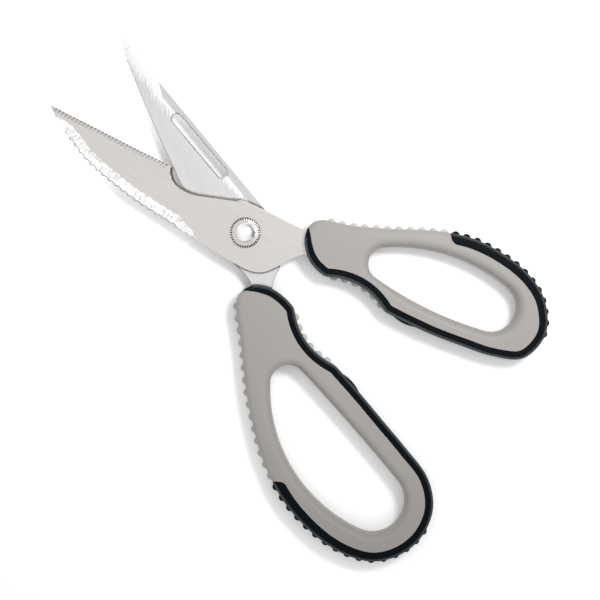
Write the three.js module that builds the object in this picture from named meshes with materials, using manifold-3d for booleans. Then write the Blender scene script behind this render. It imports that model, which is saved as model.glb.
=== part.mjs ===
// Game shears: two crossing stainless blades on one pivot bolt, each with a closed-loop handle.
// Millimetres. +X points to the blade tips and +Z is up. The origin is on the pivot axis, on the
// flat bolt head that rests on the table together with the undersides of the handles.
import * as THREE from "three";
import { mergeVertices } from "three/addons/utils/BufferGeometryUtils.js";
import Module from "manifold-3d";

const wasm = await Module();
wasm.setup();

// Arrangement and fits
const OPENING_AT_REST = 24.5; // degrees between the blade axes as the shears lie
const FIT_GAP = 0.2; // between pieces that are moulded or pressed together
const RUN_GAP = 0.15; // between surfaces that turn on each other
const CUT_MARGIN = 1; // how far a cutting shape runs past the face that it opens

// Heights above the table
const HANDLE_THICKNESS = 13;
const LOWER_SHELL_THICKNESS = 3.6;
const BLADE_THICKNESS = 2.5;
const MID_HEIGHT = HANDLE_THICKNESS / 2;
const REAR_TOP = MID_HEIGHT - RUN_GAP;
const REAR_BASE = REAR_TOP - BLADE_THICKNESS;
const FRONT_BASE = MID_HEIGHT + RUN_GAP;
const FRONT_TOP = FRONT_BASE + BLADE_THICKNESS;

// Blades, measured from the pivot axis with the shears closed
const BLADE_REACH = 88;
const EDGE_DROP = 5.6; // front cutting edge below the axis where the bone notch starts
const NOTCH_START = 36.6;
const NOTCH_DEPTH = 4.5;
const NOTCH_LENGTH = 14.6;
const HEEL_DROP = 9.7; // front blade below the axis beside the pivot
const BACK_RISE = 13; // scaler edge above the axis
const SCALER_START = 13.8;
const SCALER_START_DROP = 0.5;
const SCALER_BEVEL = 4;
const SCALER_BEVEL_DEPTH = 1.5;
const SCALER_BEVEL_FACETS = 14;
const SCALLOP_PITCH = 3.1;
const SCALLOP_DEPTH = 0.7;
const SCALLOP_FACETS = 4;
const SCALER_BEVEL_END = 0.15; // bevel's size at its ends, as a share of its full size
const SCALER_BEVEL_RAMP = 6; // how quickly the bevel grows from its ends
const SCALER_POINTS = [[53.2, 0], [40, 0.4], [24, 2.4], [13, 6], [4.6, 10]]; // from tip, below the back
const FLUTE_DEPTH = 0.16; // flute of each scallop, below the bevel
const FLUTE_SEGMENTS = 72;
const FLUTE_LEAST_SHARE = 0.3; // no flute where the bevel is smaller than this
const EDGE_BEVEL = 1.4;
const EDGE_BEVEL_DEPTH = 0.35;
const LIP_BEVEL = 0.8; // bone notch and heel
const LIP_FACETS = 16;
const TICK_PITCH = 1.5; // micro-serration of the front cutting edge
const TICK_WIDTH = 0.7;
const TICK_LENGTH = 2.7;
const TICK_SLANT = 20; // degrees off the square to the edge
const TICK_FALL = 30; // degrees that a tick's floor falls towards the edge
const TICK_FLOOR = 0.4; // steel left under a tick at the edge
const TICK_MARGIN = 2.2; // edge left plain at both ends
const SPINE_DROP = 10.8; // rear blade's spine below the axis beside the pivot
const REAR_EDGE_RISE = 12.5; // rear cutting edge above the axis at its heel
const REAR_EDGE_POINTS = [[5, 2.4], [24, 5.8], [37, 7.9], [61, 11]]; // from the tip, above the axis
const REAR_EDGE_BEVEL = 4;
const REAR_EDGE_BEVEL_DEPTH = 1.7;
const REAR_BEVEL_FACETS = 8;
const REAR_HEEL = 10;
const SLOT_RADIUS = 1.8;
const SLOT_FAR = new THREE.Vector2(50.4, -1);
const SLOT_NEAR = new THREE.Vector2(23.8, -4.5);
const SLOT_CHAMFER = 0.6;
const SLOT_CHAMFER_DEPTH = 0.8; // below the unground face
const HOLLOW_DEPTH = 0.4; // where the hollow is widest
const HOLLOW_START = 12; // on the rear blade
const FRONT_HOLLOW_START = NOTCH_START + 5;
const HOLLOW_TIP_MARGIN = 5;
const HOLLOW_LAND = 0.5; // flat left along the cutting edge
const HOLLOW_FACETS = 15;
const HOLLOW_CURVE = 6; // facets across the hollow
const SPINE_LAND = 2; // flat left along the spine
const SPINE_LAND_END = 64.5; // from here to the tip the hollow runs out over the spine
const SPINE_STRAIGHT_START = 3.6;

// Pivot
const BOLT_RADIUS = 2.5;
const BOLT_HEAD_RADIUS = 5.2;
const BOLT_HEAD_CHAMFER = 0.6;
const SQUARE_NECK = 5.4;
const WASHER_RADIUS = 5.85;
const WASHER_THICKNESS = 0.9;
const WASHER_TOOTH_DEPTH = 0.5;
const WASHER_TEETH = 44;
const WASHER_BASE = FRONT_TOP + RUN_GAP;
const WASHER_TOP = WASHER_BASE + WASHER_THICKNESS;
const NUT_RADIUS = 3.7;
const NUT_SKIRT = 0.8;
const NUT_DOME_RISE = 1.9;
const BOLT_END_RISE = 1.2; // bolt's end above the washer, inside the nut
const ROUND_SEGMENTS = 36;
const HOLE_SEGMENTS = 16;
const DOME_FACETS = 3;

// Handles
const EDGE_ROUND = 1.3; // outer edges
const HOLE_ROUND = 2; // edges of the finger holes
const BAND_WIDTH = 2.9; // soft band along the inner edge, measured in from the outline
const BAND_END_WIDTH = 3.9; // soft band where it ends on the outer edge
const BAND_START_TAPER = 2.6; // how slowly the band widens from the nose
const BAND_END_TAPER = 3.4; // length of its rounded end
const BAND_END_STATIONS = [0, 0.5, 1.5, 3.4, 6]; // where the band's width is set near its ends
const LEDGE_WIDTH = 1.2; // step along the band's outer edge, on both faces
const LEDGE_DROP = 0.6;
const NUB_RADIUS = 1.6;
const NUB_INSET = 0.15; // nub centre inside the wall
const NUB_SIDES = 6;
const NUB_RINGS = 4;
const REST_WINDOW_HEIGHT = 3.8; // opening in the band through which the rest's nubs stand
const REST_WINDOW_INSET = 1.2; // window's ends inside the ends of the finger rest
const REST_PAD_INSET = 0.6; // pad that carries the nubs, below the band's face
const REST_NUB_PITCH = 4.2;
const STOP_LENGTH = 9.2;
const STOP_HEIGHT = 7;
const STOP_PROUD = 0.7;
const STOP_SEAT = 1.3;
const STOP_FACETS = 12;
const TANG_LENGTH = 17;
const NOSE_CLEARANCE = 8; // tang pocket's run past the nose, towards the pivot
const PEG_RADIUS = 1.5;
const PEG_RISE = 2; // peg's end above the tang
const PEG_SPOTS = [5.5, 12.5]; // along the tang from its shoulder
const OUTLINE_STEP = 4; // facet length along the outlines
const ARC_STEP = THREE.MathUtils.degToRad(20);
const ROUND_FACETS = 2; // across a rounded edge
const MITRE_LIMIT = 0.6; // keeps an inset corner from running far out
const BLADE_FACETS = 4; // facets between the points of a blade's outline
const ARM_START = 0.25; // share of the hole's inner side that lies beside the finger rest

// Each loop is drawn with its inner edge up and its outer edge down: flip -1 mirrors it. The nose
// runs from the front corner to the cusp before the finger rest. From the rest's end the outline
// follows the hole at the wall widths given for the arm, the end and the outer side, and the heel
// leads back to the nose.
const thumbLoop = {
  flip: 1,
  nose: [[-18.6, -14.5], [-20.1, -9.9], [-24, -5.7], [-28.6, -3.4], [-34.1, -2.6]],
  restEnd: [-60.4, -3.9],
  restDepth: 3.65,
  armWalls: [8.4, 8.2, 8.1],
  endWalls: [9.1, 13, 12.9, 10.4, 8.8],
  outerWalls: [9, 8.9, 7.65, 6.65],
  heel: [[-41.6, -29.2], [-31.6, -23.9], [-23, -20.6], [-19.5, -17.8]],
  holeFront: [-50.5, -19],
  holeFrontRadius: 6.3,
  holeRear: [-93.2, -27.6],
  holeRearRadius: 9.4,
  holeInnerSide: 137,
  holeOuterSide: 66,
  stopPlace: -68.6,
  nubStart: 10, // first nub from the nose, along the outer edge
  nubPitch: 4.3,
  greyNubs: 11,
  darkNubs: 14,
  bladeBase: FRONT_BASE,
  tangShoulder: [[-17.4, -12.9], [-22.6, -5]],
  tangHeading: [-0.88, -0.475],
};
const fingerLoop = {
  flip: -1,
  nose: [[-17.7, -12.2], [-18.6, -7.5], [-23.2, -2.8], [-28.8, -0.5], [-33.8, 0.4]],
  restEnd: [-60.4, 1.9],
  restDepth: 3.6,
  armWalls: [10.6, 10.3, 10.2],
  endWalls: [10.3, 10.6, 10.4, 10.3, 10.4],
  outerWalls: [10.5, 9.5, 8.2, 8.2],
  heel: [[-45.8, -29.3], [-33, -22.9], [-23.5, -18.9], [-19.2, -15.8]],
  holeFront: [-56.6, -16.6],
  holeFrontRadius: 6.8,
  holeRear: [-111.2, -13.3],
  holeRearRadius: 12,
  holeInnerSide: 900,
  holeOuterSide: 58.5,
  stopPlace: -69,
  nubStart: 7,
  nubPitch: 4.7,
  greyNubs: 15,
  darkNubs: 16,
  bladeBase: REAR_BASE,
  tangShoulder: [[-16.7, -8.4], [-22.4, -2.2]],
  tangHeading: [-0.87, -0.49],
};

const bladeSteel = { color: 0xb9bcbf, roughness: 0.32, metalness: 1 };
const polishedSteel = { color: 0xd4d6d8, roughness: 0.12, metalness: 1 };
const greyPlastic = { color: 0xb8b4ae, roughness: 0.5, metalness: 0 };
const softBand = { color: 0x1c232a, roughness: 0.65, metalness: 0 };

function vector([x, y]) {
  return new THREE.Vector2(x, y);
}

// Solids and meshes

function solid(geometry) {
  geometry.deleteAttribute("normal");
  geometry.deleteAttribute("uv");
  const merged = mergeVertices(geometry, 1e-4);
  return new wasm.Manifold(new wasm.Mesh({
    numProp: 3,
    vertProperties: new Float32Array(merged.attributes.position.array),
    triVerts: new Uint32Array(merged.index.array),
  }));
}

function piece(name, body, finish) {
  const { vertProperties, triVerts } = body.getMesh();
  const geometry = new THREE.BufferGeometry();
  geometry.setAttribute("position", new THREE.BufferAttribute(new Float32Array(vertProperties), 3));
  geometry.setIndex(new THREE.BufferAttribute(new Uint32Array(triVerts), 1));
  geometry.computeVertexNormals();
  const mesh = new THREE.Mesh(geometry, new THREE.MeshStandardMaterial(finish));
  mesh.name = name;
  return mesh;
}

function prism(shape, from, to) {
  const options = { depth: to - from, curveSegments: BLADE_FACETS, bevelEnabled: false };
  return solid(new THREE.ExtrudeGeometry(shape, options).translate(0, 0, from));
}

function cylinder(centre, radius, from, to, segments) {
  const geometry = new THREE.CylinderGeometry(radius, radius, to - from, segments);
  return solid(geometry.rotateX(Math.PI / 2).translate(centre.x, centre.y, (from + to) / 2));
}

// Sweeps a section (x to the left of the path, y up) along a flat path at the given height.
function sweep(section, path, steps, height, scale = () => [1, 1]) {
  const geometry = new THREE.ExtrudeGeometry(section, { depth: 1, steps, bevelEnabled: false });
  const position = geometry.attributes.position;
  for (let i = 0; i < position.count; i += 1) {
    const along = position.getZ(i);
    const [across, up] = scale(along);
    const point = path.getPoint(along);
    const heading = path.getTangent(along);
    const side = position.getX(i) * across;
    const z = height + position.getY(i) * up;
    position.setXYZ(i, point.x - heading.y * side, point.y + heading.x * side, z);
  }
  return solid(geometry);
}

// Outlines

function samplePath(path) {
  return path.curves.flatMap((curve) => {
    const turn = curve.isEllipseCurve ? Math.abs(curve.aEndAngle - curve.aStartAngle) : 0;
    const straight = curve.isLineCurve ? 1 : Math.ceil(curve.getLength() / OUTLINE_STEP);
    return curve.getPoints(Math.max(straight, Math.ceil(turn / ARC_STEP))).slice(0, -1);
  });
}

function inset(points, distance) {
  return points.map((point, i) => {
    const before = points[(i + points.length - 1) % points.length];
    const after = points[(i + 1) % points.length];
    const arrive = point.clone().sub(before).normalize();
    const leave = after.clone().sub(point).normalize();
    const normal = new THREE.Vector2(-arrive.y - leave.y, arrive.x + leave.x).normalize();
    const mitre = Math.max(MITRE_LIMIT, normal.y * arrive.x - normal.x * arrive.y);
    return point.clone().addScaledVector(normal, distance(i) / mitre);
  });
}

function flipped(points, flip) {
  return new THREE.Shape(points.map((point) => new THREE.Vector2(point.x, point.y * flip)));
}

// Blades

// Cutting shape for a ground bevel: it starts inside the edge and falls away past it.
function wedge(width, depth, upward) {
  const slope = depth / width;
  return new THREE.Shape([
    new THREE.Vector2(-width, 0),
    new THREE.Vector2(width, -slope * 2 * width * upward),
    new THREE.Vector2(width, CUT_MARGIN * upward),
    new THREE.Vector2(-width, CUT_MARGIN * upward),
  ]);
}

// Shallow hollow ground along a blade between two lines, the upper one on the left of the lower.
function hollowGrind(lower, upper, steps, height, upward) {
  const section = new THREE.Shape();
  section.moveTo(0, 0);
  section.quadraticCurveTo(0.5, -2 * HOLLOW_DEPTH * upward, 1, 0);
  section.lineTo(1, CUT_MARGIN * upward);
  section.lineTo(0, CUT_MARGIN * upward);
  const options = { depth: 1, steps, curveSegments: HOLLOW_CURVE, bevelEnabled: false };
  const geometry = new THREE.ExtrudeGeometry(section, options);
  const position = geometry.attributes.position;
  const widest = lower.getPoint(0).distanceTo(upper.getPoint(0));
  for (let i = 0; i < position.count; i += 1) {
    const along = position.getZ(i);
    const from = lower.getPoint(along);
    const to = upper.getPoint(along);
    const z = height + (position.getY(i) * from.distanceTo(to)) / widest;
    from.lerp(to, position.getX(i));
    position.setXYZ(i, from.x, from.y, z);
  }
  return solid(geometry);
}

function addTang(shape, loop) {
  const [first, last] = loop.tangShoulder.map(vector);
  const run = vector(loop.tangHeading).setLength(TANG_LENGTH);
  const corners = [first, first.clone().add(run), last.clone().add(run), last];
  for (const corner of corners) shape.lineTo(corner.x, corner.y * loop.flip);
}

function pegCentre(loop, spot) {
  const [first, last] = loop.tangShoulder.map(vector);
  const middle = first.lerp(last, 0.5).add(vector(loop.tangHeading).setLength(spot));
  return new THREE.Vector2(middle.x, middle.y * loop.flip);
}

function pegs(loop, radius, from, to) {
  const centres = PEG_SPOTS.map((spot) => pegCentre(loop, spot));
  return joined(centres.map((centre) => cylinder(centre, radius, from, to, HOLE_SEGMENTS)));
}

// Bores for the pegs, through the whole height of a tang.
function pegHoles(loop) {
  const from = loop.bladeBase - CUT_MARGIN;
  const to = loop.bladeBase + BLADE_THICKNESS + CUT_MARGIN;
  return pegs(loop, PEG_RADIUS + FIT_GAP, from, to);
}

function scalerEdge() {
  const points = SCALER_POINTS.map(([fromTip, drop]) => [BLADE_REACH - fromTip, BACK_RISE - drop]);
  return new THREE.SplineCurve([[SCALER_START, BACK_RISE - SCALER_START_DROP], ...points].map(vector));
}

function scallops(edge) {
  const count = Math.round(edge.getLength() / SCALLOP_PITCH);
  return Array.from({ length: count * SCALLOP_FACETS + 1 }, (_, i) => {
    const along = i / (count * SCALLOP_FACETS);
    const heading = edge.getTangentAt(along);
    const hollow = SCALLOP_DEPTH * Math.sin((Math.PI * (i % SCALLOP_FACETS)) / SCALLOP_FACETS);
    return edge.getPointAt(along).add(new THREE.Vector2(heading.y * hollow, -heading.x * hollow));
  });
}

// Round flutes down the scaler's bevel, one behind each scallop.
function flutes(edge, bevelShare) {
  const count = Math.round(edge.getLength() / SCALLOP_PITCH);
  const radius = (SCALLOP_PITCH ** 2 / 4 + FLUTE_DEPTH ** 2) / (2 * FLUTE_DEPTH);
  const fall = Math.atan2(SCALER_BEVEL_DEPTH, SCALER_BEVEL);
  const spots = Array.from({ length: count }, (_, i) => (i + 0.5) / count);
  return joined(spots.filter((along) => bevelShare(along) > FLUTE_LEAST_SHARE).map((along) => {
    const point = edge.getPointAt(along);
    const heading = edge.getTangentAt(along).angle();
    const flute = new THREE.CylinderGeometry(radius, radius, 4 * SCALER_BEVEL, FLUTE_SEGMENTS);
    flute.translate(0, 0, radius - FLUTE_DEPTH).rotateX(-fall).rotateZ(heading);
    return solid(flute.translate(point.x, point.y, FRONT_TOP - SCALER_BEVEL_DEPTH * bevelShare(along)));
  }));
}

// Fine slanted slots across the bevel of the front cutting edge.
function microSerration(edge) {
  const heading = edge.getTangent(0);
  const length = edge.getLength();
  const count = Math.floor((length - 2 * TICK_MARGIN) / TICK_PITCH) + 1;
  const angle = Math.atan2(heading.y, heading.x) + THREE.MathUtils.degToRad(90 - TICK_SLANT);
  const fall = THREE.MathUtils.degToRad(TICK_FALL);
  const height = FRONT_BASE + TICK_FLOOR;
  return joined(Array.from({ length: count }, (_, i) => {
    const centre = edge.getPoint((TICK_MARGIN + i * TICK_PITCH) / length);
    const slot = new THREE.BoxGeometry(TICK_LENGTH, TICK_WIDTH, 2 * BLADE_THICKNESS);
    slot.translate(0, 0, BLADE_THICKNESS).rotateY(-fall).rotateZ(angle);
    return solid(slot.translate(centre.x, centre.y, height));
  }));
}

function frontBlade() {
  const roof = NOTCH_DEPTH - EDGE_DROP;
  const notchMiddle = NOTCH_START - NOTCH_LENGTH / 2;
  const notchEnd = NOTCH_START - NOTCH_LENGTH;
  const shape = new THREE.Shape();
  shape.moveTo(BLADE_REACH, 0);
  shape.lineTo(NOTCH_START, -EDGE_DROP);
  shape.bezierCurveTo(NOTCH_START - 1.6, roof - 1.2, NOTCH_START - 4, roof, notchMiddle, roof);
  shape.bezierCurveTo(notchMiddle - 3, roof, notchEnd + 2, roof - 0.8, notchEnd, roof - 1.7);
  shape.lineTo(7.5, -HEEL_DROP);
  shape.splineThru([[-1.1, -HEEL_DROP - 1.4], [-8, -HEEL_DROP - 1.9]].map(vector));
  const lipPoints = shape.curves.slice(1).flatMap((curve) => curve.getPoints(BLADE_FACETS).slice(1));
  const lip = new THREE.SplineCurve([vector([NOTCH_START, -EDGE_DROP]), ...lipPoints]);
  addTang(shape, thumbLoop);
  const scaler = scalerEdge();
  shape.splineThru([...[[-19.6, -0.8], [-16.6, 5], [-13.4, 9.1], [-8.5, 11.3], [0, BACK_RISE - 0.9]]
    .map(vector), scaler.getPoint(0)]);
  for (const point of scallops(scaler).slice(1)) shape.lineTo(point.x, point.y);

  const tip = new THREE.Vector2(BLADE_REACH, 0);
  const notch = new THREE.Vector2(NOTCH_START, -EDGE_DROP);
  const bevel = wedge(EDGE_BEVEL, EDGE_BEVEL_DEPTH, 1);
  const lipBevel = wedge(LIP_BEVEL, LIP_BEVEL, 1);
  const bevelShare = (along) => {
    const fromEnd = Math.min(along, 1 - along);
    return Math.min(1, SCALER_BEVEL_END + SCALER_BEVEL_RAMP * fromEnd);
  };
  const scalerBevel = wedge(SCALER_BEVEL, SCALER_BEVEL_DEPTH, 1);
  const scalerScale = (along) => [bevelShare(along), bevelShare(along)];
  const hollowEnd = BLADE_REACH - HOLLOW_TIP_MARGIN;
  const edgeAt = (x) => (-EDGE_DROP * (BLADE_REACH - x)) / (BLADE_REACH - NOTCH_START);
  const edgeSide = new THREE.LineCurve(
    new THREE.Vector2(FRONT_HOLLOW_START, edgeAt(FRONT_HOLLOW_START) + HOLLOW_LAND),
    new THREE.Vector2(hollowEnd, edgeAt(hollowEnd) + HOLLOW_LAND),
  );
  const backSide = new THREE.LineCurve(
    new THREE.Vector2(FRONT_HOLLOW_START, BACK_RISE - SPINE_LAND),
    new THREE.Vector2(hollowEnd, SPINE_LAND),
  );
  return prism(shape, FRONT_BASE, FRONT_TOP)
    .subtract(axisBore(BOLT_RADIUS + RUN_GAP, FRONT_BASE, FRONT_TOP))
    .subtract(pegHoles(thumbLoop))
    .subtract(sweep(bevel, new THREE.LineCurve(tip, notch), 1, FRONT_TOP))
    .subtract(sweep(lipBevel, lip, LIP_FACETS, FRONT_TOP))
    .subtract(sweep(scalerBevel, scaler, SCALER_BEVEL_FACETS, FRONT_TOP, scalerScale))
    .subtract(flutes(scaler, bevelShare))
    .subtract(hollowGrind(edgeSide, backSide, 1, FRONT_BASE, -1))
    .subtract(microSerration(new THREE.LineCurve(notch, tip)));
}

function rearBlade() {
  const shape = new THREE.Shape();
  const edge = REAR_EDGE_POINTS.map(([fromTip, rise]) => new THREE.Vector2(BLADE_REACH - fromTip, rise));
  const heel = new THREE.Vector2(REAR_HEEL, REAR_EDGE_RISE);
  shape.moveTo(BLADE_REACH, 0);
  shape.splineThru([...edge, heel]);
  shape.splineThru([[-2, 11.6], [-6.6, 10.2], [-10.5, 9.1], [-13.9, 8.5]].map(vector));
  addTang(shape, fingerLoop);
  shape.splineThru([[-20, -0.5], [-16.8, -5.3], [-11, -9], [-4, -SPINE_DROP],
    [SPINE_STRAIGHT_START, -SPINE_DROP]].map(vector));
  shape.lineTo(BLADE_REACH, 0);
  shape.holes.push(slotPath());
  const key = SQUARE_NECK / 2 + FIT_GAP;
  const square = [[-key, -key], [key, -key], [key, key], [-key, key]];
  shape.holes.push(new THREE.Path(square.map(vector)));

  const bevel = wedge(REAR_EDGE_BEVEL, REAR_EDGE_BEVEL_DEPTH, -1);
  const bevelPath = new THREE.SplineCurve([...edge].reverse());
  const cutting = new THREE.SplineCurve([heel, ...edge.reverse(), new THREE.Vector2(BLADE_REACH, 0)]);
  const spineAt = (x) => (-SPINE_DROP * (BLADE_REACH - x)) / (BLADE_REACH - SPINE_STRAIGHT_START);
  const places = hollowPlaces();
  const upper = places.map((x) => heightAt(cutting, x).sub(new THREE.Vector2(0, HOLLOW_LAND)));
  const lower = places.map((x) => {
    const land = x > SPINE_LAND_END ? -HOLLOW_LAND : SPINE_LAND;
    return new THREE.Vector2(x, spineAt(x) + land);
  });
  const lowerLine = new THREE.SplineCurve(lower);
  const upperLine = new THREE.SplineCurve(upper);
  const chamfer = new THREE.ExtrudeGeometry(new THREE.Shape(slotPath().getPoints(BLADE_FACETS)), {
    depth: CUT_MARGIN,
    bevelThickness: SLOT_CHAMFER_DEPTH,
    bevelSize: SLOT_CHAMFER,
    bevelSegments: 1,
  });
  return prism(shape, REAR_BASE, REAR_TOP)
    .subtract(solid(chamfer.translate(0, 0, REAR_TOP)))
    .subtract(pegHoles(fingerLoop))
    .subtract(sweep(bevel, bevelPath, REAR_BEVEL_FACETS, REAR_BASE))
    .subtract(hollowGrind(lowerLine, upperLine, HOLLOW_FACETS, REAR_TOP, 1));
}

// Places along the rear blade where the hollow's two borders are set.
function hollowPlaces() {
  const middle = (HOLLOW_START + SPINE_LAND_END) / 2;
  const end = BLADE_REACH - HOLLOW_TIP_MARGIN;
  return [HOLLOW_START, middle, SPINE_LAND_END - SPINE_LAND, SPINE_LAND_END + SPINE_LAND, end];
}

// Point of a curve that runs along x, at the given x.
function heightAt(curve, x) {
  const points = curve.getPoints(HOLLOW_FACETS * HOLLOW_CURVE);
  const after = points.findIndex((point) => point.x > x);
  const share = (x - points[after - 1].x) / (points[after].x - points[after - 1].x);
  return points[after - 1].clone().lerp(points[after], share);
}

function slotPath() {
  const run = SLOT_FAR.clone().sub(SLOT_NEAR);
  const heading = Math.atan2(run.y, run.x);
  const path = new THREE.Path();
  path.absarc(SLOT_FAR.x, SLOT_FAR.y, SLOT_RADIUS, heading - Math.PI / 2, heading + Math.PI / 2);
  path.absarc(SLOT_NEAR.x, SLOT_NEAR.y, SLOT_RADIUS, heading + Math.PI / 2, heading + 1.5 * Math.PI);
  path.closePath();
  return path;
}

// Pivot

function axisBore(radius, from, to) {
  return cylinder(new THREE.Vector2(), radius, from - CUT_MARGIN, to + CUT_MARGIN, ROUND_SEGMENTS);
}

function turned(profile) {
  const geometry = new THREE.LatheGeometry(profile.map(vector), ROUND_SEGMENTS);
  return solid(geometry.rotateX(Math.PI / 2));
}

function pivotBolt() {
  const bolt = turned([
    [0, 0],
    [BOLT_HEAD_RADIUS - BOLT_HEAD_CHAMFER, 0],
    [BOLT_HEAD_RADIUS, BOLT_HEAD_CHAMFER],
    [BOLT_HEAD_RADIUS, REAR_BASE],
    [BOLT_RADIUS, REAR_BASE],
    [BOLT_RADIUS, WASHER_TOP + BOLT_END_RISE],
    [0, WASHER_TOP + BOLT_END_RISE],
  ]);
  const neck = new THREE.BoxGeometry(SQUARE_NECK, SQUARE_NECK, BLADE_THICKNESS);
  const neckHeight = REAR_BASE + BLADE_THICKNESS / 2 - RUN_GAP;
  return bolt.add(solid(neck.translate(0, 0, neckHeight)));
}

function toothedWasher() {
  const shape = new THREE.Shape();
  for (let i = 0; i < 2 * WASHER_TEETH; i += 1) {
    const angle = (Math.PI * i) / WASHER_TEETH;
    const radius = WASHER_RADIUS - (i % 2) * WASHER_TOOTH_DEPTH;
    const place = i === 0 ? "moveTo" : "lineTo";
    shape[place](radius * Math.cos(angle), radius * Math.sin(angle));
  }
  const bore = axisBore(BOLT_RADIUS + FIT_GAP, WASHER_BASE, WASHER_TOP);
  return prism(shape, WASHER_BASE, WASHER_TOP).subtract(bore);
}

function pivotNut() {
  const bore = BOLT_RADIUS + FIT_GAP;
  const roof = WASHER_TOP + BOLT_END_RISE + FIT_GAP;
  const dome = new THREE.Path();
  dome.moveTo(bore, WASHER_TOP);
  dome.lineTo(NUT_RADIUS, WASHER_TOP);
  dome.lineTo(NUT_RADIUS, WASHER_TOP + NUT_SKIRT);
  dome.absellipse(0, WASHER_TOP + NUT_SKIRT, NUT_RADIUS, NUT_DOME_RISE, 0, Math.PI / 2);
  const outside = dome.getPoints(DOME_FACETS).map((point) => [Math.max(point.x, 0), point.y]);
  const top = outside.length - 1;
  outside[top][0] = 0;
  return turned([[0, roof], [bore, roof], ...outside]);
}

// Handles

function outlinePath(loop) {
  const cusp = vector(loop.nose.at(-1));
  const restEnd = vector(loop.restEnd);
  const restLow = cusp.clone().lerp(restEnd, 0.5);
  const path = new THREE.Path();
  path.moveTo(...loop.nose[0]);
  path.splineThru(loop.nose.slice(1).map(vector));
  path.quadraticCurveTo(restLow.x, restLow.y - 2 * loop.restDepth, restEnd.x, restEnd.y);
  const [innerArc, endArc, outerArc] = holePath(loop).curves.filter((curve) => curve.isEllipseCurve);
  path.splineThru([
    ...wallPoints(innerArc, loop.armWalls, ARM_START),
    ...wallPoints(endArc, loop.endWalls),
    ...wallPoints(outerArc, loop.outerWalls),
    ...[...loop.heel, loop.nose[0]].map(vector),
  ]);
  return path;
}

// Points beside one arc of a finger hole, evenly along it and a wall's width outside it.
function wallPoints(arc, walls, from = 0) {
  const centre = new THREE.Vector2(arc.aX, arc.aY);
  return walls.map((wall, i) => {
    const point = arc.getPoint(from + ((1 - from) * (i + 0.5)) / walls.length);
    return point.sub(centre).setLength(arc.xRadius + wall).add(centre);
  });
}

// Oval of four arcs: two end circles joined by two long sides that touch them from outside.
function holePath(loop) {
  const front = vector(loop.holeFront);
  const rear = vector(loop.holeRear);
  const inner = sideCentre(loop, loop.holeInnerSide, 1);
  const outer = sideCentre(loop, loop.holeOuterSide, -1);
  const bearing = (from, to) => to.clone().sub(from).angle();
  const path = new THREE.Path();
  const arc = (centre, radius, start, end) => path.absarc(centre.x, centre.y, radius, start, end);
  arc(inner, loop.holeInnerSide, bearing(inner, front), bearing(inner, rear));
  arc(rear, loop.holeRearRadius, bearing(inner, rear), bearing(outer, rear));
  arc(outer, loop.holeOuterSide, bearing(outer, rear), bearing(outer, front));
  arc(front, loop.holeFrontRadius, bearing(outer, front) - 2 * Math.PI, bearing(inner, front));
  return path;
}

function sideCentre(loop, radius, side) {
  const front = vector(loop.holeFront);
  const axis = vector(loop.holeRear).sub(front);
  const span = axis.length();
  axis.normalize();
  const square = new THREE.Vector2(-axis.y, axis.x);
  const toFront = radius - loop.holeFrontRadius;
  const toRear = radius - loop.holeRearRadius;
  const along = (span * span + toFront * toFront - toRear * toRear) / (2 * span);
  const across = Math.sqrt(toFront * toFront - along * along) * side;
  return front.addScaledVector(axis, along).addScaledVector(square, across);
}

function roundedSlab(shape) {
  const geometry = new THREE.ExtrudeGeometry(shape, {
    depth: HANDLE_THICKNESS - 2 * EDGE_ROUND,
    bevelThickness: EDGE_ROUND,
    bevelSize: EDGE_ROUND,
    bevelOffset: -EDGE_ROUND,
    bevelSegments: ROUND_FACETS,
  });
  return solid(geometry.translate(0, 0, EDGE_ROUND));
}

// Cutting shape of a finger hole, flared at both ends so that its edges come out round.
function flaredHole(shape) {
  const geometry = new THREE.ExtrudeGeometry(shape, {
    depth: HANDLE_THICKNESS - 2 * HOLE_ROUND,
    bevelThickness: HOLE_ROUND,
    bevelSize: -HOLE_ROUND,
    bevelOffset: HOLE_ROUND,
    bevelSegments: ROUND_FACETS,
  });
  return solid(geometry.translate(0, 0, HOLE_ROUND));
}

// Walks the closed outline: gives the point and the outward direction at a distance along it.
function walker(points) {
  const lengths = points.map((point, i) => point.distanceTo(points[(i + 1) % points.length]));
  const total = lengths.reduce((sum, length) => sum + length);
  return (distance) => {
    let left = THREE.MathUtils.euclideanModulo(distance, total);
    let i = 0;
    while (left > lengths[i]) {
      left -= lengths[i];
      i += 1;
    }
    const heading = points[(i + 1) % points.length].clone().sub(points[i]).normalize();
    const point = points[i].clone().addScaledVector(heading, left);
    return { point, outward: new THREE.Vector2(heading.y, -heading.x) };
  };
}

// Region beside a stretch of the outline, between two depths inside it.
function strip(walk, from, to, outer, inner, flip) {
  const steps = Math.ceil((to - from) / OUTLINE_STEP);
  const at = (i, depth) => {
    const { point, outward } = walk(from + ((to - from) * i) / steps);
    return point.addScaledVector(outward, -depth);
  };
  const order = Array.from({ length: steps + 1 }, (_, i) => i);
  const points = [...order.map((i) => at(i, outer)), ...order.reverse().map((i) => at(i, inner))];
  return flipped(points, flip);
}

function lens({ point, outward }, length, proud, seat, flip) {
  const heading = new THREE.Vector2(-outward.y, outward.x);
  const spots = Array.from({ length: STOP_FACETS + 1 }, (_, i) => (2 * i) / STOP_FACETS - 1);
  const at = (spot, rise) => point.clone()
    .addScaledVector(heading, (spot * length) / 2)
    .addScaledVector(outward, rise * (1 - spot * spot));
  const front = spots.map((spot) => at(spot, proud));
  const back = spots.slice(1, -1).reverse().map((spot) => at(spot, -seat));
  return flipped([...front, ...back], flip);
}

function nub(walk, distance, flip) {
  const { point, outward } = walk(distance);
  point.addScaledVector(outward, -NUB_INSET);
  const ball = new THREE.SphereGeometry(NUB_RADIUS, NUB_SIDES, NUB_RINGS);
  return solid(ball.rotateX(Math.PI / 2).translate(point.x, point.y * flip, MID_HEIGHT));
}

function joined(solids) {
  return solids.reduce((all, next) => all.add(next));
}

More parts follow.
